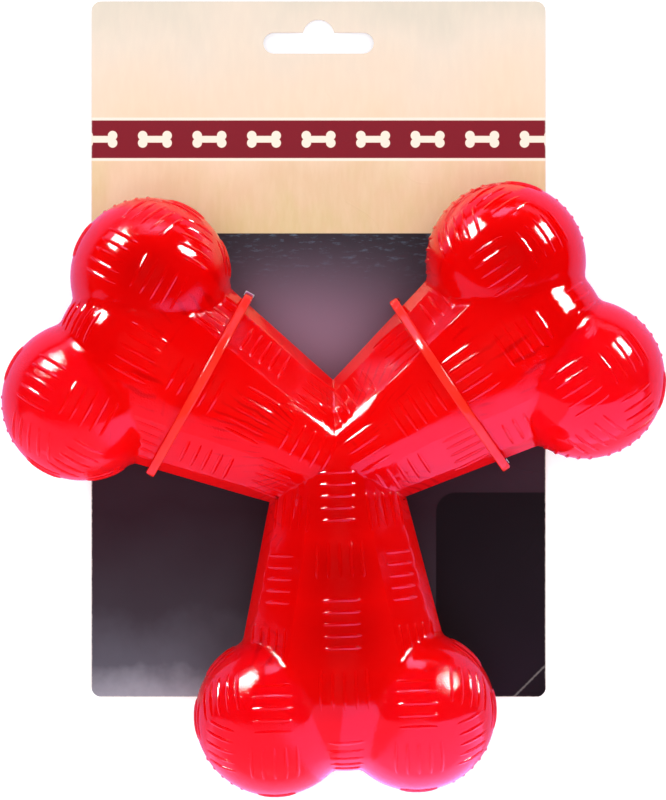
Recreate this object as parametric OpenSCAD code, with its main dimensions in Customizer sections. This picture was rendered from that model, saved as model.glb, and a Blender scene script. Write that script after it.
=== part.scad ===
// Three-armed rubber chew bone, tied to its hang card. The card lies flat, the bone on top.

/* [Bone arms] */
// Width of an arm where the arms meet
arm_hub_w = 33; // [26:0.5:38]
// Width that an arm reaches at its ball centres
arm_ball_w = 64.8; // [50:0.2:72]
// Thickness of an arm where the arms meet
arm_hub_h = 33; // [28:0.5:36]
// Thickness that an arm reaches at its rounded end
arm_end_h = 38.4; // [34:0.2:40]
// Distance from the balls' centres on to the arm's rounded end
end_past = 15.8; // [13:0.1:18]
// Slope of the long bevels, from the card's plane
bevel_angle = 46; // [42:1:52]
// Width of the steep strip beside the parting line
strip_w = 2.7; // [1:0.1:4]
// Height of that strip above the parting line
strip_h = 8.5; // [6:0.5:10]
// Direction of the lower arm, in degrees from the right
lower_angle = 272; // [266:1:276]
// Direction of the right arm
right_angle = 34; // [28:1:36]
// Direction of the left arm
left_angle = 151; // [148:1:154]

/* [Balls] */
// Diameter of each ball
ball_d = 44.2; // [42:0.2:48]
// Distance along the arm from the middle of the bone to a pair of balls
ball_reach = 69.7; // [64:0.1:76]
// Distance between the two ball centres of a pair
ball_spread = 39; // [34:0.5:44]

/* [Hang card] */
// Width of the card
card_w = 130; // [110:1:150]
// Height of the card
card_h = 199; // [180:1:230]
// Thickness of the paperboard
card_t = 0.6; // [0.4:0.1:1.2]
// Corner radius of the card
card_r = 3; // [1:0.5:8]
// Distance from the card's bottom edge to the middle of the bone
bone_up = 68; // [60:1:76]
// Distance from the card's centre line to the middle of the bone
bone_side = 5.1; // [0:0.1:8]
// Length of the hang slot
slot_l = 31.6; // [28:0.2:36]
// Height of the hang slot
slot_h = 6; // [5:0.5:8]
// Diameter of the round notch in the middle of the slot
notch_d = 9; // [8:0.5:12]
// How far the notch's centre stands above the slot's
notch_up = 2.2; // [1:0.1:3]
// Distance from the card's top edge to the slot's centre
slot_down = 12; // [10:0.5:20]

/* [Ties] */
// Width of a tie's strap
tie_w = 2.5; // [2:0.1:3.6]
// Thickness of a tie's strap
tie_t = 1.1; // [0.8:0.1:1.4]
// Gap along the arm between the left tie's middle and the balls
tie_left_back = 3; // [2:0.1:8]
// Gap between the right tie's middle and the balls
tie_right_back = 8.5; // [2:0.1:10]
// How far a tie's legs stand off the widest line of the arm
leg_gap = 1.8; // [1:0.1:3]
// Size of a tie's head along the arm
head_w = 4.4; // [4:0.1:6]
// Size of a tie's head across the arm
head_l = 4.6; // [4:0.1:6]
// Depth of a tie's head behind the card
head_h = 3.4; // [3:0.1:5]

/* [Hidden] */
// Clearance of the balls over the card
seat = 0.2;
// Clearance of a tie from the rubber
tie_seat = 0.6;
// Clearance of a tie in a slot and behind the card
tie_fit = 0.15;
// Clearance that a die-cut slot leaves round a strap
punch_fit = 0.4;
// Height on the arm's side, above the parting line, where a tie's leg turns in
knee_h = 5;
// Radius of a tie's bends
bend_r = 3;
// How far each arm reaches past the middle, into the other two
hub_lap = 4;
// Overrun of a cut past the faces that it goes through
cut = 1;

ball_r = ball_d / 2;
hub_half_w = arm_hub_w / 2;
w_slope = (arm_ball_w - arm_hub_w) / 2 / ball_reach;
web_r = arm_end_h / 2;
web_at = ball_reach + end_past - web_r;
h_slope = (arm_end_h - arm_hub_h) / 2 / web_at;
card_back = head_h + tie_fit;
card_top = card_back + card_t;
mid_z = card_top + seat + ball_r;
tie_left_at = ball_reach - ball_r - tie_left_back;
tie_right_at = ball_reach - ball_r - tie_right_back;
arms = [lower_angle, right_angle, left_angle];

// Half of the arm's width, thickness and flat front at a distance along it
function half_w(t) = hub_half_w + w_slope * t;
function half_h(t) = arm_hub_h / 2 + h_slope * t;
function half_flat(t) = half_w(t) - strip_w - (half_h(t) - strip_h) / tan(bevel_angle);

// Where the ball centres and the middle of the bone lie, before the part is centred
ball_spots = [
  for (a = arms, side = [-1, 1])
    ball_reach * [cos(a), sin(a)] + side * ball_spread / 2 * [-sin(a), cos(a)]
];
x_low = min([for (p = ball_spots) p.x]) - ball_r;
x_high = max([for (p = ball_spots) p.x]) + ball_r;
y_low = min([for (p = ball_spots) p.y]) - ball_r;
card_foot = -bone_up;
y_high = card_foot + card_h;
hub = -[x_low + x_high, y_low + y_high] / 2;
card_mid = hub + [-bone_side, card_foot + card_h / 2];
slot_mid = card_mid + [0, card_h / 2 - slot_down];

// Corners of the arm's section, anticlockwise from the right parting line, seen from its end
function section(t) = let (
  w = half_w(t),
  s = w - strip_w,
  f = half_flat(t),
  h = half_h(t)
) [
  [w, 0], [s, strip_h], [f, h], [-f, h], [-s, strip_h],
  [-w, 0], [-s, -strip_h], [-f, -h], [f, -h], [s, -strip_h]
];

module along(angle) {
  translate([hub.x, hub.y, mid_z]) rotate(angle) children();
}

// One tapered arm, from just past the middle of the bone to the axis of its end web
module arm_body() {
  near = section(-hub_lap);
  far = section(web_at);
  n = len(near);
  polyhedron(
    points = concat(
      [for (p = near) [-hub_lap, p.x, p.y]],
      [for (p = far) [web_at, p.x, p.y]]
    ),
    faces = concat(
      [[for (i = [0 : n - 1]) i]],
      [[for (i = [n - 1 : -1 : 0]) n + i]],
      [for (i = [0 : n - 1]) [i, n + i, n + (i + 1) % n, (i + 1) % n]]
    )
  );
}

// The rounded web that closes the arm between its two balls
module end_web() {
  translate([web_at, 0, 0]) rotate([90, 0, 0])
    cylinder(h = ball_spread, r = web_r, center = true, $fn = 96);
}

module balls() {
  for (side = [-1, 1])
    translate([ball_reach, side * ball_spread / 2, 0]) sphere(d = ball_d, $fn = 96);
}

module arm() {
  arm_body();
  end_web();
  balls();
}

module rubber_bone() {
  color([0.86, 0.04, 0.06, 0.85])
    for (a = arms) along(a) arm();
}

// The die-cut outline of the hang slot
module hang_slot() {
  run = slot_l - slot_h;
  for (side = [-1, 1]) translate([side * run / 2, 0]) circle(d = slot_h, $fn = 48);
  square([run, slot_h], center = true);
  translate([0, notch_up]) circle(d = notch_d, $fn = 48);
}

module card_outline() {
  run = [card_w - 2 * card_r, card_h - 2 * card_r];
  square([card_w, run.y], center = true);
  square([run.x, card_h], center = true);
  for (x = [-1, 1], y = [-1, 1])
    translate([x * run.x / 2, y * run.y / 2]) circle(r = card_r, $fn = 48);
}

// The pair of slots that one tie's legs pass through
module tie_slots(angle, at) {
  leg = half_w(at) + leg_gap + tie_t / 2;
  size = [tie_w + 2 * punch_fit, tie_t + 2 * punch_fit];
  translate(hub) rotate(angle)
    for (side = [-1, 1]) translate([at, side * leg]) square(size, center = true);
}

module hang_card() {
  color([0.13, 0.11, 0.13])
    translate([0, 0, card_back]) difference() {
      linear_extrude(card_t) translate(card_mid) card_outline();
      translate([0, 0, -cut]) linear_extrude(card_t + 2 * cut) {
        translate(slot_mid) hang_slot();
        tie_slots(left_angle, tie_left_at);
        tie_slots(right_angle, tie_right_at);
      }
    }
}

// Inside of a tie's loop, round the arm and the card, with x across the arm and y up
module loop_inside(at) {
  leg = half_w(at) + leg_gap;
  flat = half_flat(at);
  top = half_h(at) + h_slope * tie_w / 2 + tie_seat;
  back = card_back - tie_fit - mid_z;
  offset(r = bend_r, $fn = 48) offset(delta = -bend_r) polygon([
    [-leg, back - bend_r], [leg, back - bend_r], [leg, knee_h],
    [flat, top], [-flat, top], [-leg, knee_h]
  ]);
}

// The strap's loop, open at the back, where its tail goes down into the head
module strap_profile(at) {
  leg = half_w(at) + leg_gap;
  back = card_back - tie_fit - mid_z;
  difference() {
    offset(delta = tie_t) loop_inside(at);
    loop_inside(at);
    translate([-leg - 2 * tie_t, -2 * mid_z]) square([2 * leg + 4 * tie_t, 2 * mid_z + back]);
  }
  translate([-leg - tie_t, back - tie_t]) square([2 * leg + 2 * tie_t - head_l / 2, tie_t]);
  translate([leg, -mid_z]) square([tie_t, mid_z + back]);
}

module tie(angle, at) {
  leg = half_w(at) + leg_gap + tie_t / 2;
  color([0.93, 0.12, 0.14, 0.9]) along(angle) {
    translate([at - tie_w / 2, 0, 0]) rotate([90, 0, 90])
      linear_extrude(tie_w) strap_profile(at);
    difference() {
      translate([at - head_w / 2, leg - head_l / 2, -mid_z]) cube([head_w, head_l, head_h]);
      translate([at, leg, -mid_z + head_h / 2])
        cube([tie_w + 2 * tie_fit, tie_t + 2 * tie_fit, head_h + 2 * cut], center = true);
    }
  }
}

module tie_left() { tie(left_angle, tie_left_at); }
module tie_right() { tie(right_angle, tie_right_at); }

rubber_bone();
hang_card();
tie_left();
tie_right();
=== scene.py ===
from math import asin, atan, cos, degrees, hypot, pi, radians, sin, sqrt, tan, tau

import bpy
import bmesh
import numpy as np
from mathutils import Matrix, Vector


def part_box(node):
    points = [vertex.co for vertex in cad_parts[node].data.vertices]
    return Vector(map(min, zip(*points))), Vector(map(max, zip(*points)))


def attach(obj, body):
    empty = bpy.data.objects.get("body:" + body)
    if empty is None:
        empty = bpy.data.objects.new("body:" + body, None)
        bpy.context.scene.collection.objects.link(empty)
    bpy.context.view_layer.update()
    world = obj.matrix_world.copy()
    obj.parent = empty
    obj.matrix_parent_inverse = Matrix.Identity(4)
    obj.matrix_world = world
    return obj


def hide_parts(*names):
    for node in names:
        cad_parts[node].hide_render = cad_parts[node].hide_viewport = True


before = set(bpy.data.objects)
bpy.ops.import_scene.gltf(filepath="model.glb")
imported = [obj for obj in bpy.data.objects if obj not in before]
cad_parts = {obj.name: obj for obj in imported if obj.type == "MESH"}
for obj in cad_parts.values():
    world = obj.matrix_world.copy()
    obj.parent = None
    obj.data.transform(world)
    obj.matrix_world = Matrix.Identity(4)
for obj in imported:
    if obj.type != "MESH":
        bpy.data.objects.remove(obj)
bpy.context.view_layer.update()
mm = 0.001

boneLow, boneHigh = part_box("rubber_bone")
cardLow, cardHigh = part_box("hang_card")
scene = bpy.context.scene
print("frame loaded")


def newObject(name, mesh, material=None):
    obj = bpy.data.objects.new(name, mesh)
    scene.collection.objects.link(obj)
    if material:
        mesh.materials.append(material)
    return obj


def shapeMesh(name, shape):
    mesh = bpy.data.meshes.new(name)
    shape.to_mesh(mesh)
    shape.free()
    return mesh


def meshFrom(name, points, faces):
    mesh = bpy.data.meshes.new(name)
    mesh.from_pydata([tuple(p) for p in points], [], [tuple(int(i) for i in f) for f in faces])
    mesh.update()
    return mesh


def plainMesh(obj, name):
    # the evaluated shape, as a mesh without modifiers
    graph = bpy.context.evaluated_depsgraph_get()
    mesh = bpy.data.meshes.new_from_object(obj.evaluated_get(graph), depsgraph=graph)
    mesh.name = name
    return mesh


def unite(obj, other):
    union = obj.modifiers.new(other.name, "BOOLEAN")
    union.operation, union.solver, union.object = "UNION", "MANIFOLD", other


def setSockets(tree, node, sockets):
    # inputs by name or number, each set to a value or linked to another node's output
    for key, value in sockets.items():
        if isinstance(value, bpy.types.NodeSocket):
            tree.links.new(value, node.inputs[key])
        else:
            node.inputs[key].default_value = value
    return node


def addNode(tree, kind, sockets={}, **settings):
    node = tree.nodes.new(kind)
    for key, value in settings.items():
        setattr(node, key, value)
    return setSockets(tree, node, sockets)


def treeOf(*values):
    # the node tree that the sockets among some values belong to
    return next(value.id_data for value in values if isinstance(value, bpy.types.NodeSocket))


def calc(operation, *values, clamp=False):
    return addNode(treeOf(*values), "ShaderNodeMath", dict(enumerate(values)), operation=operation,
                   use_clamp=clamp).outputs[0]


def times(a, b, **settings):
    return calc("MULTIPLY", a, b, **settings)


def minus(a, b, **settings):
    return calc("SUBTRACT", a, b, **settings)


def vectorNode(operation, *values, scale=None):
    sockets = dict(enumerate(values))
    if scale is not None:
        sockets["Scale"] = scale
    node = addNode(treeOf(*values), "ShaderNodeVectorMath", sockets, operation=operation)
    return node.outputs["Value" if operation in ("LENGTH", "DOT_PRODUCT") else "Vector"]


def combine(**axes):
    return addNode(treeOf(*axes.values()), "ShaderNodeCombineXYZ", axes).outputs[0]


def separate(vector):
    return tuple(addNode(vector.id_data, "ShaderNodeSeparateXYZ", {0: vector}).outputs)


def noiseNode(vector, scale, detail=2.0, roughness=0.5):
    return addNode(vector.id_data, "ShaderNodeTexNoise", {
        "Vector": vector, "Scale": scale, "Detail": detail, "Roughness": roughness}).outputs["Fac"]


def mapRange(value, start, end, low=0.0, high=1.0, smooth=False):
    # runs from low to high while the value runs from start to end
    return addNode(value.id_data, "ShaderNodeMapRange", {
        "Value": value, "From Min": start, "From Max": end, "To Min": low, "To Max": high},
        interpolation_type="SMOOTHSTEP" if smooth else "LINEAR").outputs[0]


def bumpNode(height, distance, **others):
    return addNode(height.id_data, "ShaderNodeBump", {
        "Height": height, "Distance": distance, "Strength": 1, **others}).outputs[0]


def mixShader(share, first, second):
    return addNode(first.id_data, "ShaderNodeMixShader", {0: share, 1: first, 2: second}).outputs[0]


def linear(r, g, b):
    # a colour of 0 to 255 as Blender's linear one
    return tuple((c / 255 / 12.92 if c <= 10 else ((c / 255 + 0.055) / 1.055) ** 2.4) for c in (r, g, b)) + (1,)


def ramp(stops, value):
    # colours of three numbers are 0 to 255, and those of four are linear
    node = addNode(value.id_data, "ShaderNodeValToRGB", {"Fac": value})
    elements = node.color_ramp.elements
    while len(elements) < len(stops):
        elements.new(0.5)
    for element, (at, colour) in zip(elements, stops):
        element.position, element.color = at, colour if len(colour) == 4 else linear(*colour)
    return node.outputs["Color"]


def blendColour(share, below, above):
    sockets = {"Factor": share, 6: below, 7: above}
    return addNode(treeOf(share, below, above), "ShaderNodeMix", sockets, data_type="RGBA").outputs[2]


def newGroup(name, kind, inputs, outputs):
    # a node group with named inputs, each of a kind and with a first value, and named outputs
    tree = bpy.data.node_groups.new(name, kind)
    for label, socketKind, value in inputs:
        socket = tree.interface.new_socket(label, in_out="INPUT", socket_type="NodeSocket" + socketKind)
        if value is not None:
            socket.default_value = value
    for label, socketKind in outputs:
        tree.interface.new_socket(label, in_out="OUTPUT", socket_type="NodeSocket" + socketKind)
    return tree, addNode(tree, "NodeGroupInput").outputs


def newMaterial(name):
    material = bpy.data.materials.new(name)
    material.use_nodes = True
    return material, material.node_tree


def objectPlace(tree):
    return addNode(tree, "ShaderNodeTexCoord").outputs["Object"]


# camera, as far from the card as the photograph's perspective asks
view = dict(distance=704.15, lookAt=(-0.1, -2.35), seenHeight=228.8, cardTop=4.15, sensor=36, clipStart=50)

camera = bpy.data.cameras.new("camera")
camera.sensor_width = view["sensor"]
camera.lens = view["sensor"] * (view["distance"] - view["cardTop"]) / view["seenHeight"]
camera.clip_start = view["clipStart"] * mm
cameraObject = bpy.data.objects.new("camera", camera)
cameraObject.location = [value * mm for value in (*view["lookAt"], view["distance"])]
scene.collection.objects.link(cameraObject)
scene.camera = cameraObject
scene.view_settings.view_transform = "Standard"

# lamps by name: direction seen from the toy, distance, width and height, watts and colour
softboxes = {
    # softboxes and far walls that show in reflections alone
    "leftSoftbox": dict(toward=(-0.616, 0.709, 0.342), away=900, size=(380, 300), power=13, colour=(1, 1, 1)),
    "rightSoftbox": dict(toward=(0.74, 0.578, 0.342), away=900, size=(310, 300), power=10.6, colour=(1, 1, 1)),
    "topStrip": dict(toward=(0, 0.96, 0.27), away=900, size=(420, 200), power=1.2, colour=(0.8, 0.5, 1)),
    "farLeft": dict(toward=(-0.56, 0.83, 0.02), away=1500, size=(900, 400), power=2.4, colour=(1, 0.45, 0.9)),
    "farRight": dict(toward=(0.48, 0.88, 0.02), away=1500, size=(900, 400), power=1.1, colour=(1, 0.5, 0.9)),
    # the white table under the toy as it was photographed, seen in its lower faces
    "tableLeft": dict(toward=(0, -1, 0), at=(-300, -114, 94), size=(600, 176), power=0.3, colour=(1, 0.32, 0.7)),
    "tableRight": dict(toward=(0, -1, 0), at=(300, -114, 94), size=(600, 176), power=0.6, colour=(1, 0.36, 1)),
    # even light from the viewer's side, from below and from above, unseen in reflections
    "frontPanel": dict(toward=(0, 0, 1), away=2000, size=(1500, 1500), power=19, colour=(1, 1, 1), even=True),
    "lowPanel": dict(toward=(0, -1, 0.08), away=1500, size=(1500, 500), power=20, colour=(1, 0.8, 0.9), even=True),
    "highPanel": dict(toward=(0, 1, 0.08), away=1500, size=(1500, 500), power=14, colour=(1, 0.8, 0.95), even=True),
}
for name, box in softboxes.items():
    light = bpy.data.lights.new(name, "AREA")
    light.shape = "RECTANGLE"
    light.size, light.size_y = (s * mm for s in box["size"])
    light.energy = box["power"]
    light.color = box["colour"]
    lamp = bpy.data.objects.new(name, light)
    toward = Vector(box["toward"]).normalized()
    far = "away" in box
    lamp.location = toward * box["away"] * mm + Vector((0, 0, boneHigh.z / 2)) if far else Vector(box["at"]) * mm
    lamp.rotation_euler = toward.to_track_quat("Z", "Y").to_euler()
    lamp.visible_camera = False
    lamp.visible_diffuse = box.get("even", False)
    lamp.visible_glossy = not lamp.visible_diffuse
    scene.collection.objects.link(lamp)

studio = dict(
    room=0.8, roomInGloss=0.015, roomColour=(0.95, 0.95, 1, 1),     # light all round, and what gloss shows of it
    floorSize=4000, floorDrop=0.4, floorColour=(0.8, 0.8, 0.8, 1), floorGlow=0.4,
    floorInGloss=(0.9, 0.38, 0.85, 1), glossFade=(0.45, 0.12),      # gloss shows the floor near the toy alone
)


def seenRays(tree):
    # the light path, and 1 for rays that show the background, straight or through the rubber
    path = addNode(tree, "ShaderNodeLightPath").outputs
    return path, calc("MAXIMUM", path["Is Camera Ray"], path["Is Transmission Ray"])


world = bpy.data.worlds.new("studio")
scene.world = world
world.use_nodes = True
tree = world.node_tree
tree.nodes.clear()
path, seen = seenRays(tree)
dimming = calc("MULTIPLY_ADD", path["Is Glossy Ray"], studio["roomInGloss"] - studio["room"], studio["room"])
room = addNode(tree, "ShaderNodeBackground", {"Color": studio["roomColour"], "Strength": dimming}).outputs[0]
white = addNode(tree, "ShaderNodeBackground", {"Color": (1, 1, 1, 1)}).outputs[0]
addNode(tree, "ShaderNodeOutputWorld", {"Surface": mixShader(seen, room, white)})

floorMaterial, tree = newMaterial("paleFloor")
tree.nodes.clear()
path, seen = seenRays(tree)
lit = addNode(tree, "ShaderNodeBsdfDiffuse", {"Color": studio["floorColour"]}).outputs[0]
glow = addNode(tree, "ShaderNodeEmission", {"Strength": studio["floorGlow"]}).outputs[0]
bright = addNode(tree, "ShaderNodeAddShader", {0: lit, 1: glow}).outputs[0]
away = vectorNode("LENGTH", addNode(tree, "ShaderNodeNewGeometry").outputs["Position"])
near = mapRange(away, *studio["glossFade"], smooth=True)
inGloss = addNode(tree, "ShaderNodeEmission", {"Color": studio["floorInGloss"], "Strength": near}).outputs[0]
shown = mixShader(path["Is Glossy Ray"], mixShader(seen, lit, bright), inGloss)
addNode(tree, "ShaderNodeOutputMaterial", {"Surface": shown})
floorCorners = [Vector((x * studio["floorSize"], y * studio["floorSize"], -studio["floorDrop"])) * mm
                for x, y in ((-1, -1), (1, -1), (1, 1), (-1, 1))]
floor = newObject("floor", meshFrom("floor", floorCorners, [(0, 1, 2, 3)]), floorMaterial)
print("camera, lights and floor placed")


bone = dict(
    directions=(272, 34, 151),   # of the arms, in degrees from the right
    firstTurn=(0, 1, 0),         # whether an arm's first group of ribs runs along it
    onCard=(5.1, 31.5),          # from the card's middle to the bone's, to the right and down
    hubWidth=33, ballWidth=64.8, hubDepth=30.4, endDepth=42.8,
    crown=37, bevel=46,          # slopes of the crown's edges and the bevels
    stripWidth=2.7, stripRise=5.2,
    ridge=0.208, ridgeSlope=0.52, ridgeFrom=14, ridgeTo=25,   # away from the hub the crown's sides are flatter
    ballSize=44.2, ballReach=69.7, ballSpread=39, endPast=15.8,
    hubLap=4,
    edgeSoft=0.04, ballSoft=1.4, valleySoft=0.35,   # how far corners and valleys are eased
)
net = dict(                      # the surface net that the bone is drawn with
    cell=1.5, margin=(14, 2.2), slopeStep=0.02,
    drawSteps=8, probeSteps=3, probeAt=0.46, probeNear=0.75, edgeHold=0.03, edgeShift=0.8,   # in cells
)
hub = Vector(((cardLow.x + cardHigh.x) / 2 / mm + bone["onCard"][0],
              (cardLow.y + cardHigh.y) / 2 / mm - bone["onCard"][1], (boneLow.z + boneHigh.z) / 2 / mm))
ballR = bone["ballSize"] / 2
halfHub = bone["hubWidth"] / 2
widthSlope = (bone["ballWidth"] / 2 - halfHub) / bone["ballReach"]
endR = bone["endDepth"] / 2
endAt = bone["ballReach"] + bone["endPast"] - endR
depthSlope = (bone["endDepth"] - bone["hubDepth"]) / 2 / endAt
sinBevel, cosBevel = sin(radians(bone["bevel"])), cos(radians(bone["bevel"]))
sinCrown, tanHalfCrown = sin(radians(bone["crown"])), tan(radians(bone["crown"] / 2))


def halfWidth(t):
    return halfHub + widthSlope * t


def halfDepth(t):
    return bone["hubDepth"] / 2 + depthSlope * t


def halfCrown(t):
    run = (halfWidth(t) - bone["stripWidth"]) * sinBevel / cosBevel - halfDepth(t) + bone["stripRise"]
    return run / (sinBevel / cosBevel - tanHalfCrown)


def crownR(t):
    return halfCrown(t) / sinCrown


def crownDrop(t, w):
    # how far the crown has fallen at w off its middle, and how steep it is there
    r = crownR(t)
    depth = np.sqrt(np.maximum(r ** 2 - w ** 2, r ** 2 / 4))
    ridge = np.hypot(bone["ridge"] * r, bone["ridgeSlope"] * w)
    share = np.clip((t - bone["ridgeFrom"]) / (bone["ridgeTo"] - bone["ridgeFrom"]), 0, 1)
    share = share ** 2 * (3 - 2 * share)
    drop = (1 - share) * (r - depth) + share * (ridge - bone["ridge"] * r)
    return drop, (1 - share) * w / depth + share * bone["ridgeSlope"] ** 2 * w / ridge


def softMax(a, b, k):
    return np.maximum(a, b) + np.maximum(k - np.abs(a - b), 0) ** 2 / (4 * k)


def softMin(a, b, k):
    return -softMax(-a, -b, k)


def armField(t, w, z):
    # distance from one arm's surface, inside below zero; t runs along it, w across
    w, z = np.abs(w), np.abs(z)
    drop, steep = crownDrop(t, w)
    crown = (z - halfDepth(t) + drop) / np.sqrt(1 + depthSlope ** 2 + steep ** 2)
    bevel = ((z - bone["stripRise"]) * cosBevel + (w - halfWidth(t) + bone["stripWidth"]) * sinBevel) \
        / hypot(1, widthSlope * sinBevel)
    lean = bone["stripWidth"] / bone["stripRise"]
    strip = (w + z * lean - halfWidth(t)) / hypot(1, hypot(lean, widthSlope))
    body = softMax(softMax(crown, bevel, bone["edgeSoft"]), strip, bone["edgeSoft"])
    body = np.maximum(body, np.maximum(t - endAt, -bone["hubLap"] - t))
    drop, steep = crownDrop(endAt, w)
    web = (np.hypot(t - endAt, z) - endR + drop) / np.sqrt(1 + steep ** 2)
    web = np.maximum(web, w - bone["ballSpread"] / 2)
    ball = np.sqrt((t - bone["ballReach"]) ** 2 + (w - bone["ballSpread"] / 2) ** 2 + z ** 2) - ballR
    return softMin(np.minimum(body, web), ball, bone["ballSoft"])


def boneField(points):
    whole = None
    for direction in bone["directions"]:
        c, s = cos(radians(direction)), sin(radians(direction))
        arm = armField(points[:, 0] * c + points[:, 1] * s, points[:, 1] * c - points[:, 0] * s, points[:, 2])
        whole = arm if whole is None else softMin(whole, arm, bone["valleySoft"])
    return whole


def ballField(points):
    # distance from the nearest ball
    middles = [np.array(turnZ(direction) @ Vector((bone["ballReach"], side * bone["ballSpread"] / 2, 0)))
               for direction in bone["directions"] for side in (-1, 1)]
    return np.min([np.linalg.norm(points - middle, axis=1) for middle in middles], axis=0) - ballR


def slopeOf(field, points):
    # the field's gradient, by central differences
    slope, step = np.empty_like(points), net["slopeStep"]
    for axis in range(3):
        nudge = np.zeros(3)
        nudge[axis] = step
        slope[:, axis] = (field(points + nudge) - field(points - nudge)) / (2 * step)
    return slope


def drawnOnto(field, points, steps):
    for _ in range(steps):
        slope = slopeOf(field, points)
        points = points - slope * (field(points) / np.maximum((slope ** 2).sum(1), 0.05))[:, None]
    return points


def unitSlope(field, points):
    slope = slopeOf(field, points)
    return slope / np.maximum(np.linalg.norm(slope, axis=1), 1e-9)[:, None]


def sharpened(field, points, middles, cell):
    # moves the point of a cell that an edge crosses onto that edge, where the surfaces round it meet
    spread, pull = np.zeros((len(points), 3, 3)), np.zeros((len(points), 3))
    for corner in ((i, j, k) for i in (-1, 1) for j in (-1, 1) for k in (-1, 1)):
        probe = drawnOnto(field, middles + np.array(corner) * net["probeAt"] * cell, net["probeSteps"])
        normal = unitSlope(field, probe)
        near = (np.abs(probe - middles).max(1) < net["probeNear"] * cell)[:, None]
        spread += np.where(near[:, :, None], normal[:, :, None] * normal[:, None, :], 0)
        pull += np.where(near, normal * (normal * (probe - points)).sum(1)[:, None], 0)
    shift = np.linalg.solve(spread + net["edgeHold"] * np.eye(3), pull[:, :, None])[:, :, 0]
    length = np.linalg.norm(shift, axis=1)[:, None]
    return points + shift * np.minimum(1, net["edgeShift"] * cell / np.maximum(length, 1e-9))


def surfaceNet(field, low, high, cell):
    # one point in each cell that the surface crosses, drawn onto the surface, and a quad round each crossed edge
    axes = [np.arange(a, b + cell, cell) for a, b in zip(low, high)]
    grid = np.stack(np.meshgrid(*axes, indexing="ij"), -1)
    inside = (field(grid.reshape(-1, 3)) < 0).reshape(grid.shape[:3])
    halves = (slice(None, -1), slice(1, None))
    corners = sum(inside[i, j, k].astype(int) for i in halves for j in halves for k in halves)
    crossed = (corners > 0) & (corners < 8)
    index = np.full(crossed.shape, -1)
    index[crossed] = np.arange(crossed.sum())
    middles = grid[:-1, :-1, :-1][crossed] + cell / 2
    points = sharpened(field, drawnOnto(field, middles, net["drawSteps"]), middles, cell)
    quads = []
    for axis in range(3):
        order = (axis, (axis + 1) % 3, (axis + 2) % 3)
        side, cells = np.transpose(inside, order), np.transpose(index, order)
        first, last = side[:-1, 1:-1, 1:-1], side[1:, 1:-1, 1:-1]
        i, j, k = np.nonzero(first != last)
        ring = np.stack([cells[i, j, k], cells[i, j + 1, k], cells[i, j + 1, k + 1], cells[i, j, k + 1]], -1)
        turned = last[i, j, k]
        ring[turned] = ring[turned][:, ::-1]
        quads.append(ring)
    return points, np.concatenate(quads)


reach, rise = bone["ballReach"] + ballR + net["margin"][0], ballR + net["margin"][1]
netPoints, netQuads = surfaceNet(boneField, (-reach, -reach, -rise), (reach, reach, rise), net["cell"])
print("bone net", len(netPoints), "points", len(netQuads), "quads")
boneMesh = meshFrom("rubberBone", (netPoints + np.array(hub)) * mm, netQuads)
boneBody = newObject("boneBody", boneMesh)

ribs = dict(
    width=1.2, height=0.36, pitch=3.2, count=5,
    armLength=11.8, ballLength=13.4,
    crownAt=9, crownStep=17.2, crownGroups=4,    # places along an arm's crowns
    bevelAt=13.4, bevelStep=18, bevelGroups=3,
    endTurn=50,                                  # from the front down the rounded end
    # groups on a ball: outward turn, sideways turn, whether the ribs run along the arm
    ballGroups=[(-12, 0, 0), (30, 0, 1), (-28, 42, 1), (24, 44, 0)],
    rimGroups=[(-90, 43, 0), (90, 43, 1), (90, 0, 0), (0, 88, 1)],
    flatBend=2000,                               # a radius so wide that the group stays flat
    taperPower=5, tipSize=0.14, points=9, sides=8,
)


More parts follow.
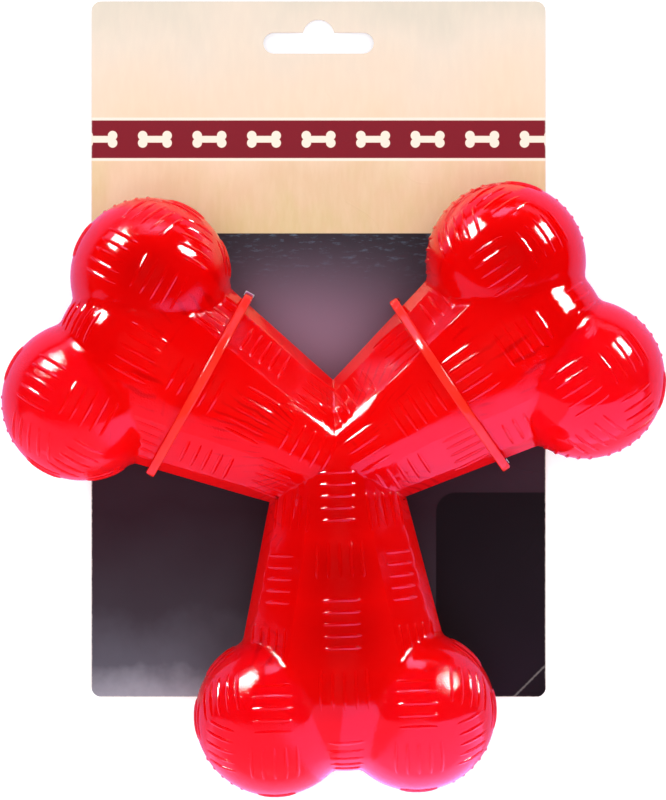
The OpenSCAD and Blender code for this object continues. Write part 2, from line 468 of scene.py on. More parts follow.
def ribTree():
    # puts a group of ribs on each point, turned by its aim; a group bends to a ball or a round end
    tree, given = newGroup("ribGroups", "GeometryNodeTree", [
        ("Points", "Geometry", None), ("Rib Width", "Float", 0.0012), ("Rib Height", "Float", 0.0005),
        ("Rib Length", "Float", 0.0118), ("Rib Pitch", "Float", 0.0032), ("Bend Across", "Float", 2.0),
        ("Bend Along", "Float", 2.0), ("Ribs in a Group", "Int", 5), ("Material", "Material", None)],
        [("Ribs", "Geometry")])

    def node(kind, sockets={}, **settings):
        return addNode(tree, kind, sockets, **settings).outputs[0]

    # one bar, its round section sunk so that the rib's height stands proud
    height, half = given["Rib Height"], times(given["Rib Width"], 0.5)
    radius = calc("DIVIDE", calc("MULTIPLY_ADD", height, height, times(half, half)),
                  times(height, 2.0))
    sunk = times(minus(radius, height), -1.0)
    reachOut = times(given["Rib Length"], 0.5)
    start, end = (combine(Y=times(reachOut, sign), Z=sunk) for sign in (-1.0, 1.0))
    line = node("GeometryNodeCurvePrimitiveLine", {"Start": start, "End": end})
    spaced = node("GeometryNodeResampleCurve", {"Curve": line, "Count": ribs["points"]})
    along = addNode(tree, "GeometryNodeSplineParameter").outputs["Factor"]
    fromMiddle = calc("ABSOLUTE", calc("MULTIPLY_ADD", along, 2.0, -1.0))
    taper = calc("MAXIMUM", minus(1.0, calc("POWER", fromMiddle, ribs["taperPower"])), ribs["tipSize"])
    thinned = node("GeometryNodeSetCurveRadius", {"Curve": spaced, "Radius": taper})
    ring = node("GeometryNodeCurvePrimitiveCircle", {"Resolution": ribs["sides"], "Radius": radius})
    bar = addNode(tree, "GeometryNodeCurveToMesh", {"Curve": thinned, "Profile Curve": ring, "Fill Caps": True})
    if "Scale" in bar.inputs:
        setSockets(tree, bar, {"Scale": taper})
    # a row of bars across x
    count, pitch = given["Ribs in a Group"], given["Rib Pitch"]
    start = combine(X=times(times(minus(count, 1.0), -0.5), pitch))
    row = node("GeometryNodeMeshLine", {"Count": count, "Start Location": start, "Offset": combine(X=pitch)})
    bars = node("GeometryNodeInstanceOnPoints", {"Points": row, "Instance": bar.outputs[0]})
    group = node("GeometryNodeRealizeInstances", {0: bars})
    # the two ways a group lies, each bent to its surface and set on its own points
    turn = node("GeometryNodeInputNamedAttribute", {"Name": "turn"}, data_type="INT")
    aim = node("GeometryNodeInputNamedAttribute", {"Name": "aim"}, data_type="FLOAT_VECTOR")
    rotation = node("FunctionNodeEulerToRotation", {0: aim})
    joined = addNode(tree, "GeometryNodeJoinGeometry")
    for way in (0, 1):
        turned = node("GeometryNodeTransform", {"Geometry": group, "Rotation": (0, 0, way * pi / 2)})
        x, y, z = separate(node("GeometryNodeInputPosition"))
        for label in ("Bend Across", "Bend Along"):
            bend = given[label]
            angle = calc("DIVIDE", x if label == "Bend Across" else y, bend)
            away = calc("ADD", z, bend)
            shifted = times(calc("SINE", angle), away)
            z = minus(times(calc("COSINE", angle), away), bend)
            x, y = (shifted, y) if label == "Bend Across" else (x, shifted)
        moved = node("GeometryNodeSetPosition", {"Geometry": turned, "Position": combine(X=x, Y=y, Z=z)})
        chosen = node("FunctionNodeCompare", {"A": turn, "B": way}, data_type="INT", operation="EQUAL")
        setSockets(tree, joined, {0: node("GeometryNodeInstanceOnPoints", {
            "Points": given["Points"], "Selection": chosen, "Instance": moved, "Rotation": rotation})})
    real = node("GeometryNodeRealizeInstances", {0: joined.outputs[0]})
    finish = node("GeometryNodeSetMaterial", {"Geometry": real, "Material": given["Material"]})
    addNode(tree, "NodeGroupOutput", {0: finish})
    return tree


def turnX(angle):
    return Matrix.Rotation(radians(angle), 4, "X")


def turnY(angle):
    return Matrix.Rotation(radians(angle), 4, "Y")


def turnZ(angle):
    return Matrix.Rotation(radians(angle), 4, "Z")


def mirrored(matrix, across, back):
    # the same place on another side of the arm; a group is its own mirror image, so it only turns
    if across:
        matrix = Matrix.Diagonal((1, -1, 1, 1)) @ matrix @ Matrix.Diagonal((1, -1, 1, 1))
    if back:
        matrix = Matrix.Diagonal((1, 1, -1, 1)) @ matrix @ Matrix.Diagonal((1, -1, 1, 1))
    return matrix


def alongCrown(t, step, turn):
    # a rib of a crown's group: across the arm, and past the crown round its end, or along it
    lean = -degrees(atan(depthSlope))
    if turn:
        r = crownR(t)
        return Matrix.Translation((t, 0, halfDepth(t) - r)) @ turnX(-degrees(step / r)) \
            @ Matrix.Translation((0, 0, r)) @ turnY(lean)
    past = t + step - endAt
    if past < 0:
        return Matrix.Translation((t + step, 0, halfDepth(t + step))) @ turnY(lean)
    return Matrix.Translation((t + step, 0, sqrt(endR ** 2 - past ** 2))) \
        @ turnY(degrees(asin(past / endR)))


def ribPlaces():
    # where each group lies on its arm, and which way it runs: on the crowns, one set for each place
    # along the arm, on the bevels, the ends and the balls
    crowns, bevels, ends, balls = [[] for _ in range(ribs["crownGroups"])], [], [], []
    bevelLean = degrees(atan(widthSlope * sinBevel))
    sides = [(across, back) for across in (0, 1) for back in (0, 1)]
    for direction, first in zip(bone["directions"], bone["firstTurn"]):
        arm = Matrix.Translation(hub) @ turnZ(direction)
        for k, crown in enumerate(crowns):
            turn = (first + k) % 2
            for i in range(ribs["count"]):
                step = (i - (ribs["count"] - 1) / 2) * ribs["pitch"]
                place = alongCrown(ribs["crownAt"] + k * ribs["crownStep"], step, turn)
                crown += [(arm @ mirrored(place, 0, back), turn) for back in (0, 1)]
        for k in range(ribs["bevelGroups"]):
            t = ribs["bevelAt"] + k * ribs["bevelStep"]
            edge = halfDepth(t) - halfCrown(t) * tanHalfCrown
            across = (halfWidth(t) - bone["stripWidth"] + halfCrown(t)) / 2
            place = Matrix.Translation((t, across, (bone["stripRise"] + edge) / 2)) \
                @ turnX(-bone["bevel"]) @ turnY(-bevelLean)
            bevels += [(arm @ mirrored(place, *side), (first + k + 1) % 2) for side in sides]
        place = Matrix.Translation((endAt, 0, 0)) @ turnY(ribs["endTurn"]) @ Matrix.Translation((0, 0, endR))
        ends += [(arm @ mirrored(place, 0, back), first) for back in (0, 1)]
        for groups, onRim in ((ribs["ballGroups"], False), (ribs["rimGroups"], True)):
            for outward, sideways, turn in groups:
                place = Matrix.Translation((bone["ballReach"], bone["ballSpread"] / 2, 0)) @ turnY(outward) \
                    @ turnX(-sideways) @ Matrix.Translation((0, 0, ballR))
                balls += [(arm @ mirrored(place, *side), (first + turn) % 2)
                          for side in sides if not (onRim and side[1])]
    return crowns, bevels, ends, balls


def ribObject(name, places, count, length, bends):
    mesh = meshFrom(name, [matrix.translation * mm for matrix, turn in places], [])
    mesh.attributes.new("aim", "FLOAT_VECTOR", "POINT").data.foreach_set(
        "vector", [angle for matrix, turn in places for angle in matrix.to_euler("XYZ")])
    mesh.attributes.new("turn", "INT", "POINT").data.foreach_set("value", [turn for matrix, turn in places])
    obj = newObject(name, mesh)
    modifier = obj.modifiers.new("ribs", "NODES")
    modifier.node_group = ribNodes
    values = {"Rib Width": ribs["width"] * mm, "Rib Height": ribs["height"] * mm, "Rib Length": length * mm,
              "Rib Pitch": ribs["pitch"] * mm, "Bend Across": bends[0] * mm, "Bend Along": bends[1] * mm,
              "Ribs in a Group": count, "Material": rubber}
    for item in ribNodes.interface.items_tree:
        if item.in_out == "INPUT" and item.name in values:
            modifier[item.identifier] = values[item.name]
    obj.data.update()
    made = newObject(name + "Made", plainMesh(obj, name + "Made"))
    bpy.data.objects.remove(obj)
    return made


rubber = bpy.data.materials.new("clearRedRubber")
ribNodes = ribTree()
crowns, bevels, ends, balls = ribPlaces()
flatBend, groupOf = ribs["flatBend"], ribs["count"]
ribSets = [
    ribObject("crownRibs", crown, 1, ribs["armLength"],
              (flatBend, crownR(ribs["crownAt"] + k * ribs["crownStep"])))
    for k, crown in enumerate(crowns)
] + [
    ribObject("bevelRibs", bevels, groupOf, ribs["armLength"], (flatBend, flatBend)),
    ribObject("endRibs", ends, groupOf, ribs["armLength"], (endR, crownR(endAt))),
    ribObject("ballRibs", balls, groupOf, ribs["ballLength"], (ballR, ballR)),
]
for ribSet in ribSets:
    print(ribSet.name, len(ribSet.data.polygons), "faces")
    unite(boneBody, ribSet)
boneMesh.materials.append(rubber)
ribbed = plainMesh(boneBody, "rubberBone")
for ribSet in ribSets:
    bpy.data.objects.remove(ribSet)
bpy.data.objects.remove(boneBody)
rubberBone = newObject("rubberBone", ribbed)
print("rubber bone", len(ribbed.vertices), "points,", len(ribbed.polygons), "faces")

smooth = dict(sharpAngle=38, onBody=0.04, inset=0.2, sameSide=0.988, sameFace=0.9925, facing=0.75)


def readAll(items, key, size=3, kind=float):
    values = np.empty(len(items) * size, kind)
    items.foreach_get(key, values)
    return values.reshape(-1, size) if size > 1 else values


def setNormals(mesh):
    # ribs keep their own roundness, and everything else reflects as the true surface does
    mesh.shade_smooth()
    mesh.set_sharp_from_angle(angle=radians(smooth["sharpAngle"]))
    mesh.update()
    points = readAll(mesh.vertices, "co") / mm - np.array(hub)
    onBody = np.abs(boneField(points)) < smooth["onBody"]
    corner = readAll(mesh.loops, "vertex_index", 1, int)
    total = readAll(mesh.polygons, "loop_total", 1, int)
    face = readAll(mesh.polygons, "normal")
    middle = readAll(mesh.polygons, "center") / mm - np.array(hub)
    owner = np.repeat(np.arange(len(total)), total)
    # a face beside an edge takes the slope on its own side of the edge
    slope = unitSlope(boneField, points)[corner]
    inward = unitSlope(boneField, points[corner] * (1 - smooth["inset"]) + middle[owner] * smooth["inset"])
    slope = np.where(((slope * inward).sum(1) > smooth["sameSide"])[:, None], slope, inward)
    # and one that an edge crosses takes the slope at its middle, but not in the hollows round the balls
    central = unitSlope(boneField, middle)[owner]
    crossed = ((slope * central).sum(1) < smooth["sameFace"]) & (ballField(middle)[owner] > bone["ballSoft"])
    slope = np.where(crossed[:, None], central, slope)
    facing = (slope * face[owner]).sum(1) > smooth["facing"]
    fits = np.ones(len(total), bool)
    np.logical_and.at(fits, owner, facing & onBody[corner])
    normals = readAll(mesh.corner_normals, "vector")
    normals[fits[owner]] = slope[fits[owner]]
    mesh.normals_split_custom_set([tuple(n) for n in normals])
    print("normals set,", int(fits.sum()), "of", len(total), "faces on the body")


setNormals(ribbed)


def marksGroup():
    # how uneven a surface is: waves, and hair-fine marks in scattered patches
    tree, given = newGroup("surfaceMarks", "ShaderNodeTree", [
        ("Vector", "Vector", None), ("Wave Size", "Float", 0.012), ("Mark Size", "Float", 0.02),
        ("Mark Width", "Float", 0.02), ("Marks", "Float", 0.3)], [("Height", "Float")])

    def inSizes(size):
        return vectorNode("SCALE", given["Vector"], scale=calc("DIVIDE", 1.0, given[size]))

    wave = noiseNode(inSizes("Wave Size"), 1)
    # a mark is a thin line where a slow noise crosses its middle value
    scaled = inSizes("Mark Size")
    line = calc("ABSOLUTE", minus(noiseNode(scaled, 1, 1), 0.5))
    thin = minus(1.0, calc("DIVIDE", line, given["Mark Width"]))
    patch = noiseNode(vectorNode("SCALE", scaled, scale=0.6), 1, 0)
    kept = calc("GREATER_THAN", patch, minus(0.78, given["Marks"]))
    mask = times(calc("MAXIMUM", thin, 0.0), kept)
    addNode(tree, "NodeGroupOutput", {"Height": calc("MULTIPLY_ADD", mask, 0.25, wave)})
    return tree


marks = marksGroup()


def surfaceMarks(place, *values):
    names = ("Wave Size", "Mark Size", "Mark Width", "Marks")
    sockets = {"Vector": place, **dict(zip(names, values))}
    return addNode(place.id_data, "ShaderNodeGroup", sockets, node_tree=marks).outputs["Height"]


def paintedFarRibShade(place, worn, look):
    # painted shade: soft dark stripes along the arms and across them, in patches, that stand for the ribs of the
    # far side seen through the rubber
    fromHub = vectorNode("SUBTRACT", place, tuple(hub * mm))
    x, y, z = separate(fromHub)
    outwards = vectorNode("LENGTH", vectorNode("MULTIPLY", fromHub, (1, 1, 0)))
    around = times(calc("ARCTAN2", y, x), look["stripesAt"])
    bent = calc("MULTIPLY_ADD", noiseNode(place, look["bendScale"]), 2 * look["bend"], -look["bend"])
    across, along = [calc("SINE", times(calc("ADD", way, bent),
                                                     tau / ribs["pitch"] / mm)) for way in (outwards, around)]
    pick = mapRange(noiseNode(place, look["weaveScale"], 0), *look["weaveEdge"])
    stripe = addNode(place.id_data, "ShaderNodeMix", {0: pick, 2: across, 3: along}, data_type="FLOAT").outputs[0]
    onArm = mapRange(outwards, *(a * mm for a in look["stripesFade"]), smooth=True)
    return mapRange(times(stripe, worn), *look["stripeEdge"],
                    high=times(onArm, look["stripeShare"]), smooth=True)


def rubberShader(material, look):
    # a clear body that darkens with depth, and a red one that glows in the light, with painted shade in its colour
    material.use_nodes = True
    tree = material.node_tree
    tree.nodes.clear()
    place = objectPlace(tree)
    uneven = surfaceMarks(place, look["waveSize"], look["markSize"], look["markWidth"], look["marks"])
    waves = bumpNode(uneven, look["waveHeight"])
    # the mould's fine grain, stronger in patches, breaks the highlights up
    worn = mapRange(noiseNode(place, look["patchScale"]), *look["patchEdge"], low=look["grainLeast"])
    grain = noiseNode(place, 1 / look["grainSize"], 1)
    bump = bumpNode(grain, look["grainHeight"], Strength=worn, Normal=waves)
    cloud = noiseNode(place, look["cloudScale"], look["cloudDetail"], look["cloudRoughness"])
    shade = ramp(list(zip(look["cloudEdge"], (look["deep"], look["bright"]))), cloud)
    # painted shade: the light reaches some places least, such as the lower arm and the middles of the upper balls
    shadow = None
    for along, across, direction, size, share in look["darker"]:
        spot = hub + turnZ(direction) @ Vector((along, across, 0))
        away = vectorNode("MULTIPLY", vectorNode("SUBTRACT", place, tuple(spot * mm)), (1, 1, 0))
        dark = mapRange(vectorNode("LENGTH", away), size * mm, 0, high=share, smooth=True)
        shadow = dark if shadow is None else calc("MAXIMUM", shadow, dark)
    # the painted stripes of the far ribs join the painted shade
    shadow = calc("MAXIMUM", shadow, paintedFarRibShade(place, worn, look))
    rough = mapRange(cloud, 0, 1, *look["roughness"])
    gloss = {"IOR": look["ior"], "Roughness": rough, "Normal": bump}
    clear = addNode(tree, "ShaderNodeBsdfPrincipled", {
        "Base Color": look["clear"], "Transmission Weight": 1, **gloss}).outputs[0]
    body = addNode(tree, "ShaderNodeBsdfPrincipled", {
        "Base Color": blendColour(shadow, shade, look["dark"]), "Subsurface Weight": look["glow"],
        "Subsurface Radius": look["glowReach"], "Subsurface Scale": look["glowDepth"], **gloss}).outputs[0]
    absorb = addNode(tree, "ShaderNodeVolumeAbsorption", {
        "Color": look["depthColour"], "Density": look["density"]})
    addNode(tree, "ShaderNodeOutputMaterial", {
        "Surface": mixShader(look["bodyShare"], clear, body), "Volume": absorb.outputs[0]})


rubberShader(rubber, dict(
    clear=(1, 0.97, 0.98, 1), bodyShare=0.78, ior=1.5, roughness=(0.03, 0.09),
    deep=(0.9, 0.0006, 0.0008, 1), bright=(1, 0.004, 0.004, 1), dark=(0.6, 0.0003, 0.0004, 1),
    cloudScale=22, cloudDetail=6, cloudRoughness=0.68, cloudEdge=(0.35, 0.65),
    # places of painted shade: distance along an arm, to its left, the arm's direction, radius, share of the dark
    # colour
    darker=[(14, 0, 272, 20, 0.8), (30, 0, 272, 22, 1), (46, 0, 272, 24, 0.9), (60, 0, 272, 20, 0.6),
            (69.7, -19.5, 151, 19, 0.8), (69.7, 19.5, 34, 19, 0.7), (70, 0, 34, 14, 0.3), (70, 0, 151, 14, 0.3)],
    glow=1, glowDepth=0.012, glowReach=(1, 0.05, 0.05),
    depthColour=(0.88, 0, 0.35, 1), density=75,
    # painted stripes that stand for the far ribs seen through the rubber
    stripesAt=0.045,                 # how far out the stripes along an arm have the ribs' pitch, in metres
    stripesFade=(76, 56), stripeShare=0.65, stripeEdge=(0.1, 1),
    weaveScale=65, weaveEdge=(0.46, 0.54), bendScale=110, bend=0.002,
    waveSize=0.009, waveHeight=0.00006, grainSize=0.0005, grainHeight=0.0001, grainLeast=0.15,
    patchScale=70, patchEdge=(0.48, 0.68), markSize=0.016, markWidth=0.015, marks=0.2,
))
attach(rubberBone, "root")
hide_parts("rubber_bone")
print("rubber finished")


# the two straps that hold the toy, each a loop round an arm with a head behind the card
ties = dict(
    width=2.5, thick=1.1, edge=0.5,              # the strap's section, and the rounding of its edges
    slotGap=1.8,                                 # from the arm's widest line to a strap in its slot
    left=dict(arm=2, back=3, slack=0.6),         # gap to the balls along the arm, and to its side at the knee
    right=dict(arm=1, back=8.5, slack=1.8),
    bendR=3, backBend=1.3, cardGap=0.15, ribGap=0.15, tipGap=0.12, tailIn=1.5,
    bow=2.4,                                     # how far a strap leans towards the hub at its highest
    overSteps=12, sharpAngle=35,
    head=(4.4, 4.6, 3.4), headEdge=0.5,
)


def easedPath(corners, radii, steps=7):
    # a line through the corners with a round bend at each inner one
    path = [Vector(corners[0])]
    for before, at, after, radius in zip(corners, corners[1:], corners[2:], radii):
        at = Vector(at)
        if not radius:
            path.append(at)
            continue
        come, go = (Vector(before) - at).normalized(), (Vector(after) - at).normalized()
        half = come.angle(go) / 2
        centre = at + (come + go).normalized() * radius / sin(half)
        start, end = at + come * radius / tan(half), at + go * radius / tan(half)
        spoke = start - centre
        turn = spoke.angle_signed(end - centre)
        for k in range(steps + 1):
            c, s = cos(-turn * k / steps), sin(-turn * k / steps)
            path.append(centre + Vector((spoke.x * c - spoke.y * s, spoke.x * s + spoke.y * c)))
    path.append(Vector(corners[-1]))
    return path


def arc(cx, cy, r, start, end, steps):
    turns = [radians(start + (end - start) * k / steps) for k in range(steps + 1)]
    return [(cx + r * cos(turn), cy + r * sin(turn)) for turn in turns]


def roundedBox(width, height, corner, steps):
    points = []
    for sx, sy, start in ((1, 1, 0), (-1, 1, 90), (-1, -1, 180), (1, -1, 270)):
        points += arc(sx * (width / 2 - corner), sy * (height / 2 - corner), corner, start, start + 90, steps)
    return points


def sweep(name, path, section, along, bow):
    # path in (across, up); the section's first axis lies along the arm
    foot = cardHigh.z / mm - hub.z
    top = max(at.y for at in path)
    points, faces, n = [], [], len(section)
    for i, at in enumerate(path):
        ahead = (path[min(i + 1, len(path) - 1)] - path[max(i - 1, 0)]).normalized()
        out = Vector((ahead.y, -ahead.x))
        shift = along - bow * max((at.y - foot) / (top - foot), 0)
        points += [(shift + a, at.x + out.x * b, at.y + out.y * b) for a, b in section]
    for i in range(len(path) - 1):
        faces += [(i * n + k, i * n + (k + 1) % n, (i + 1) * n + (k + 1) % n, (i + 1) * n + k) for k in range(n)]
    last = (len(path) - 1) * n
    faces += [tuple(range(n))[::-1], tuple(last + k for k in range(n))]
    shape = bmesh.new()
    mesh = meshFrom(name, points, faces)
    shape.from_mesh(mesh)
    bmesh.ops.recalc_face_normals(shape, faces=shape.faces)
    shape.to_mesh(mesh)
    shape.free()
    return mesh


def makeTie(name, place, material):
    at = bone["ballReach"] - ballR - place["back"]
    half = ties["thick"] / 2
    wide = at + ties["width"] / 2
    over = ribs["height"] + ties["ribGap"]
    leg, foot = halfWidth(at) + place["slack"] + half, halfWidth(at) + ties["slotGap"] + half
    board = cardHigh.z / mm - hub.z
    knee = bone["stripRise"] + (over + half - (leg - halfWidth(wide) + bone["stripWidth"]) * sinBevel) / cosBevel
    low, back = -hub.z + ties["tipGap"], cardLow.z / mm - ties["cardGap"] - half - hub.z
    r, steps = crownR(wide), ties["overSteps"]
    angles = [radians(bone["crown"] * (1 - k / steps)) for k in range(2 * steps + 1)]
    reachUp = r + over + half
    arch = [(sin(a) * reachUp, halfDepth(wide) - r + cos(a) * reachUp) for a in angles]
    corners = [(foot, low), (foot, board), (leg, knee), *arch, (-leg, knee), (-foot, board), (-foot, back),
               (foot - ties["tailIn"], back)]
    bend = ties["bendR"] + half
    path = easedPath(corners, [0, bend] + [0] * len(arch) + [bend, 0, ties["backBend"]])
    section = roundedBox(ties["width"], ties["thick"], ties["edge"], 3)
    strap = newObject(name + "Strap", sweep(name + "Strap", path, section, at, ties["bow"]))
    size = ties["head"]
    head = bmesh.new()
    bmesh.ops.create_cube(head, size=1, matrix=Matrix.Translation((at, foot, size[2] / 2 - hub.z))
                          @ Matrix.Diagonal((*size, 1)))
    bmesh.ops.bevel(head, geom=list(head.edges), offset=ties["headEdge"], segments=3, profile=0.5, affect="EDGES")
    headObject = newObject(name + "Head", shapeMesh(name + "Head", head))
    unite(strap, headObject)
    mesh = plainMesh(strap, name)
    mesh.transform(Matrix.Scale(mm, 4) @ Matrix.Translation(hub) @ turnZ(bone["directions"][place["arm"]]))
    mesh.materials.clear()
    mesh.materials.append(material)
    mesh.shade_smooth()
    mesh.set_sharp_from_angle(angle=radians(ties["sharpAngle"]))
    bpy.data.objects.remove(headObject)
    bpy.data.objects.remove(strap)
    return newObject(name, mesh)


tiePlastic, tree = newMaterial("clearRedStrap")
place = objectPlace(tree)
marked = surfaceMarks(place, 0.003, 0.004, 0.03, 0.25)
setSockets(tree, tree.nodes["Principled BSDF"], {
    "Base Color": ramp([(0.3, (0.95, 0.022, 0.01, 1)), (0.7, (1, 0.034, 0.018, 1))],
                       noiseNode(place, 160)),
    "Normal": bumpNode(marked, 0.00006), "Roughness": 0.1, "IOR": 1.5, "Transmission Weight": 0.2})

for name, node in (("left", "tie_left"), ("right", "tie_right")):
    tie = makeTie("tie" + name.capitalize(), ties[name], tiePlastic)
    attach(tie, "root")
    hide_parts(node)
print("ties made")


# the hang card, die-cut from printed board
card = dict(
    width=130, height=199, thick=0.6, corner=3,
    slot=(31.6, 6), notch=9, notchUp=2.2, slotDown=12,
    legSlot=(2.8, 1.4),
    curlSize=9, curlLift=0.9, curlSteps=8,       # the lower right corner has lifted a little
)
cardMid = Vector(((cardLow.x + cardHigh.x) / 2 / mm, (cardLow.y + cardHigh.y) / 2 / mm))


def cardLoops():
    # the card's outline, its hang slot, and the slots of the ties' legs
    outline = roundedBox(card["width"], card["height"], card["corner"], 8)
    run, sr = (card["slot"][0] - card["slot"][1]) / 2, card["slot"][1] / 2
    y, nr = card["height"] / 2 - card["slotDown"], card["notch"] / 2
    bump = degrees(asin((sr - card["notchUp"]) / nr))
    hang = arc(run, y, sr, -90, 90, 10) + arc(0, y + card["notchUp"], nr, bump, 180 - bump, 14) \
        + arc(-run, y, sr, 90, 270, 10)
    legs = []
    a, b = card["legSlot"][0] / 2, card["legSlot"][1] / 2
    for place in (ties["left"], ties["right"]):
        at = bone["ballReach"] - ballR - place["back"]
        leg = halfWidth(at) + ties["slotGap"] + ties["thick"] / 2
        turned = turnZ(bone["directions"][place["arm"]])
        for side in (-1, 1):
            corners = [turned @ Vector((at + sx * a, side * leg + sy * b, 0))
                       for sx, sy in ((1, 1), (-1, 1), (-1, -1), (1, -1))]
            legs.append([(c.x + hub.x - cardMid.x, c.y + hub.y - cardMid.y) for c in corners])
    return [outline, hang], legs


def curl(x, y):
    # how far the board is lifted, growing from a crease towards the lower right corner
    past = ((x - card["width"] / 2) - (y + card["height"] / 2)) / sqrt(2) + card["curlSize"]
    return card["curlLift"] * (max(past, 0) / card["curlSize"]) ** 2


def makeCard(materials):
    shape = bmesh.new()
    edges = []
    loops, legLoops = cardLoops()
    for loop in loops + legLoops:
        loop = [p for i, p in enumerate(loop) if (Vector(p) - Vector(loop[i - 1])).length > 1e-4]
        points = [shape.verts.new((x, y, 0)) for x, y in loop]
        edges += [shape.edges.new((points[i - 1], points[i])) for i in range(len(points))]
    bmesh.ops.triangle_fill(shape, use_beauty=True, use_dissolve=False, edges=edges, normal=(0, 0, 1))
    corner = Vector((card["width"] / 2, -card["height"] / 2, 0))
    for k in range(card["curlSteps"] + 1):
        cut = corner + Vector((-1, 1, 0)).normalized() * card["curlSize"] * k / card["curlSteps"]
        bmesh.ops.bisect_plane(shape, geom=list(shape.verts) + list(shape.edges) + list(shape.faces), dist=1e-5,
                               plane_co=cut, plane_no=Vector((1, -1, 0)))
    for point in shape.verts:
        point.co.z = curl(point.co.x, point.co.y)
    bmesh.ops.recalc_face_normals(shape, faces=shape.faces)
    if sum(f.normal.z for f in shape.faces) < 0:
        bmesh.ops.reverse_faces(shape, faces=shape.faces)
    front = list(shape.faces)
    under = bmesh.ops.duplicate(shape, geom=front)["geom"]
    backs = [f for f in under if isinstance(f, bmesh.types.BMFace)]
    lowered = {v for f in backs for v in f.verts}
    for point in lowered:
        point.co.z -= card["thick"]
    bmesh.ops.reverse_faces(shape, faces=backs)
    rim = [e for e in shape.edges if e.is_boundary and e.verts[0] not in lowered]
    lowFor = {(round(point.co.x, 4), round(point.co.y, 4)): point for point in lowered}
    for edge in rim:
        face = edge.link_faces[0]
        a, b = next((l.vert, l.link_loop_next.vert) for l in face.loops if l.edge == edge)
        low = [lowFor[(round(v.co.x, 4), round(v.co.y, 4))] for v in (a, b)]
        inSlot = any((a.co.xy - Vector(loop[0])).length < 6 for loop in legLoops)
        shape.faces.new((b, a, low[0], low[1])).material_index = 0 if inSlot else 1
    for face in backs:
        face.material_index = 2
    for point in shape.verts:
        point.co = Vector((point.co.x + cardMid.x, point.co.y + cardMid.y, point.co.z + cardHigh.z / mm)) * mm
    mesh = shapeMesh("hangCard", shape)
    for material in materials:
        mesh.materials.append(material)
    return newObject("hangCard", mesh)


def softStep(distance, blur):
    return minus(0.5, calc("DIVIDE", distance, blur), clamp=True)


def lengthOf(x, y):
    return vectorNode("LENGTH", combine(X=x, Y=y))


def inBox(x, y, mid, half, corner, blur):
    # 1 inside a rounded box and 0 outside, over a soft edge
    out = []
    for value, centre, size in ((x, mid[0], half[0]), (y, mid[1], half[1])):
        away = calc("ABSOLUTE", minus(value, centre))
        out.append(calc("MAXIMUM", minus(away, size - corner), 0.0))
    return softStep(minus(lengthOf(*out), corner), blur)


printing = dict(
    pictureFoot=33.1,                            # the pale picture's lower edge, above the card's middle
    skyStops=[(0, (222, 196, 152)), (0.2, (226, 196, 158)), (0.5, (238, 213, 184)), (0.85, (229, 215, 195)),
              (1, (218, 209, 190))],
    meadow=(205, 196, 120), straw=(255, 240, 214),
    darkStops=[(0, (28, 29, 35)), (0.12, (46, 45, 54)), (0.35, (60, 44, 56)), (0.6, (44, 24, 34)),
               (0.8, (54, 46, 54)), (0.93, (84, 82, 92)), (1, (146, 144, 154))],
    glowMid=(-3, 2), glowSize=32, glowShape=0.62, glow=(142, 112, 132), flecks=(120, 150, 175),
    panelMid=(84, -91), panelHalf=(50.4, 50), panelCorner=5.7, panel=(20, 15, 18),
    bandMid=60, bandHalf=5.4, rim=0.8, band=(128, 16, 34), bandRim=(250, 236, 218),
    bonePitch=15.6, boneHalf=(3.5, 1.05), knob=1.35, shaft=(3.6, 0.95), bones=(248, 234, 214),
    # edge wear, and the painted highlight across the lifted corner, both take the bare paper's colour
    wear=0.42, wearShare=0.7, diagonal=0.7071, bendHighlightAt=0.72, bendHighlightWide=0.5, bendHighlightShare=0.16,
    bareAndHighlight=(226, 220, 212),
    roughness=(0.34, 0.5), marks=(0.014, 0.03, 0.006, 0.2), unevenness=0.0001,
)


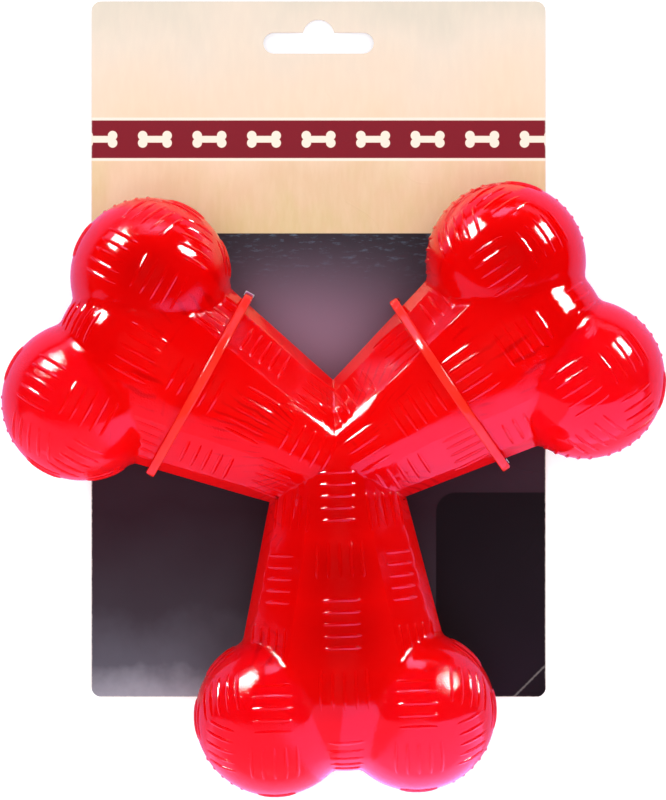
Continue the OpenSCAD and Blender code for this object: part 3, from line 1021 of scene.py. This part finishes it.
def printedBoard():
    material, tree = newMaterial("printedBoard")
    look = printing

    def stretched(x, y):
        return vectorNode("MULTIPLY", place, (x, y, 1))

    def inked(share, below, ink):
        return blendColour(share, below, linear(*look[ink]))

    millimetres = addNode(tree, "ShaderNodeMapping", {
        "Location": (-cardMid.x, -cardMid.y, 0), "Scale": (1 / mm, 1 / mm, 1 / mm), "Vector": objectPlace(tree)})
    place = millimetres.outputs[0]
    x, y, z = separate(place)
    # pale picture: an out-of-focus meadow under a hazy sky
    haze = noiseNode(place, 0.045, 2, 0.4)
    tufts = noiseNode(stretched(0.09, 0.05), 1.0, 3, 0.55)
    grain = noiseNode(stretched(0.5, 0.12), 1.0, 3, 0.6)
    height = calc("DIVIDE", minus(y, look["pictureFoot"]), card["height"] / 2 - look["pictureFoot"])
    sky = ramp(look["skyStops"], calc("ADD", height, calc("MULTIPLY_ADD", haze, 0.5, -0.25)))
    green = times(softStep(minus(height, 0.3), 0.7),
                 calc("MULTIPLY_ADD", tufts, 3.2, -1.5), clamp=True)
    meadow = inked(times(green, 0.55), sky, "meadow")
    pale = calc("MULTIPLY_ADD", grain, 1.6, -0.65, clamp=True)
    meadow = inked(times(pale, 0.22), meadow, "straw")
    # dark picture: charcoal with a mauve glow behind the toy, paler again at the foot
    down = calc("DIVIDE", minus(look["pictureFoot"], y), card["height"] / 2 + look["pictureFoot"])
    mottle = noiseNode(place, 0.06, 4, 0.55)
    dark = ramp(look["darkStops"], calc("MULTIPLY_ADD", minus(mottle, 0.5), 0.12, down))
    gx, gy = (calc("DIVIDE", minus(value, middle), look["glowSize"] * shape)
              for value, middle, shape in zip((x, y), look["glowMid"], (1, look["glowShape"])))
    spot = combine(X=gx, Y=gy)
    glow = calc("POWER", 2.718, times(vectorNode("DOT_PRODUCT", spot, spot), -1.0))
    dark = inked(times(glow, 0.95), dark, "glow")
    flecks = calc("MULTIPLY_ADD", noiseNode(stretched(0.25, 0.9), 1.0, 5, 0.7), 5.0, -2.75, clamp=True)
    nearTop = softStep(minus(down, 0.07), 0.12)
    dark = inked(times(times(flecks, nearTop), 0.4), dark, "flecks")
    panel = inBox(x, y, look["panelMid"], look["panelHalf"], look["panelCorner"], 0.3)
    dark = inked(panel, dark, "panel")
    # the two pictures meet, and a band with a row of small bones lies over the pale one
    sheet = blendColour(softStep(minus(look["pictureFoot"], y), 0.25), dark, meadow)
    inBand, rim = (inBox(x, y, (0, look["bandMid"]), (80, look["bandHalf"] + more), 1, 0.2)
                   for more in (0, look["rim"]))
    sheet = inked(rim, sheet, "bandRim")
    sheet = inked(inBand, sheet, "band")
    stepX = calc("ABSOLUTE", calc("WRAP", x, look["bonePitch"] / 2, -look["bonePitch"] / 2))
    stepY = calc("ABSOLUTE", minus(y, look["bandMid"]))
    fromKnob, fromShaft = ([minus(step, size) for step, size in zip((stepX, stepY), look[part])]
                           for part in ("boneHalf", "shaft"))
    knob = minus(lengthOf(*fromKnob), look["knob"])
    shape = softStep(calc("MINIMUM", knob, calc("MAXIMUM", *fromShaft)), 0.16)
    sheet = inked(times(shape, inBand), sheet, "bones")
    # bare paper shows along the worn edges, and a pale line across the lifted corner is a painted highlight of its
    # bend
    awayX = minus(card["width"] / 2, calc("ABSOLUTE", x))
    awayY = minus(card["height"] / 2, calc("ABSOLUTE", y))
    ragged = times(noiseNode(place, 0.8, 4, 0.7), look["wear"])
    worn = softStep(minus(calc("MINIMUM", awayX, awayY), ragged), 0.1)
    # painted highlight: a pale line across the lifted corner, where the board bends
    corner = card["curlSize"] * look["bendHighlightAt"] - (card["width"] / 2 + card["height"] / 2) * look["diagonal"]
    past = calc("ABSOLUTE", calc("MULTIPLY_ADD", minus(x, y), look["diagonal"], corner))
    ragged = times(noiseNode(place, 1.4, 3, 0.6), look["bendHighlightWide"])
    bendHighlight = softStep(minus(past, ragged), 0.25)
    bareAndHighlight = calc("MAXIMUM", times(worn, look["wearShare"]),
                times(bendHighlight, look["bendHighlightShare"]))
    sheet = inked(bareAndHighlight, sheet, "bareAndHighlight")
    marked = surfaceMarks(objectPlace(tree), *look["marks"])
    setSockets(tree, tree.nodes["Principled BSDF"], {
        "Base Color": sheet, "Roughness": mapRange(calc("MAXIMUM", mottle, bareAndHighlight), 0, 1, *look["roughness"]),
        "Normal": bumpNode(marked, look["unevenness"]), "IOR": 1.45, "Specular IOR Level": 0.2})
    return material


def plainBoard(name, pale, deep, scale):
    # uncoated board: fibre mottling and a fine tooth
    material, tree = newMaterial(name)
    fibre = noiseNode(vectorNode("MULTIPLY", objectPlace(tree), (1, 2.5, 1)), scale, 6, 0.65)
    setSockets(tree, tree.nodes["Principled BSDF"], {
        "Base Color": ramp([(0.35, deep), (0.65, pale)], fibre),
        "Normal": bumpNode(fibre, 0.00005), "Roughness": 0.8})
    return material


hangCard = makeCard([printedBoard(), plainBoard("boardEdge", (238, 234, 226), (214, 208, 198), 2500),
                     plainBoard("boardBack", (222, 219, 212), (204, 200, 192), 700)])
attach(hangCard, "root")
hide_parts("hang_card")
print("card printed and cut")
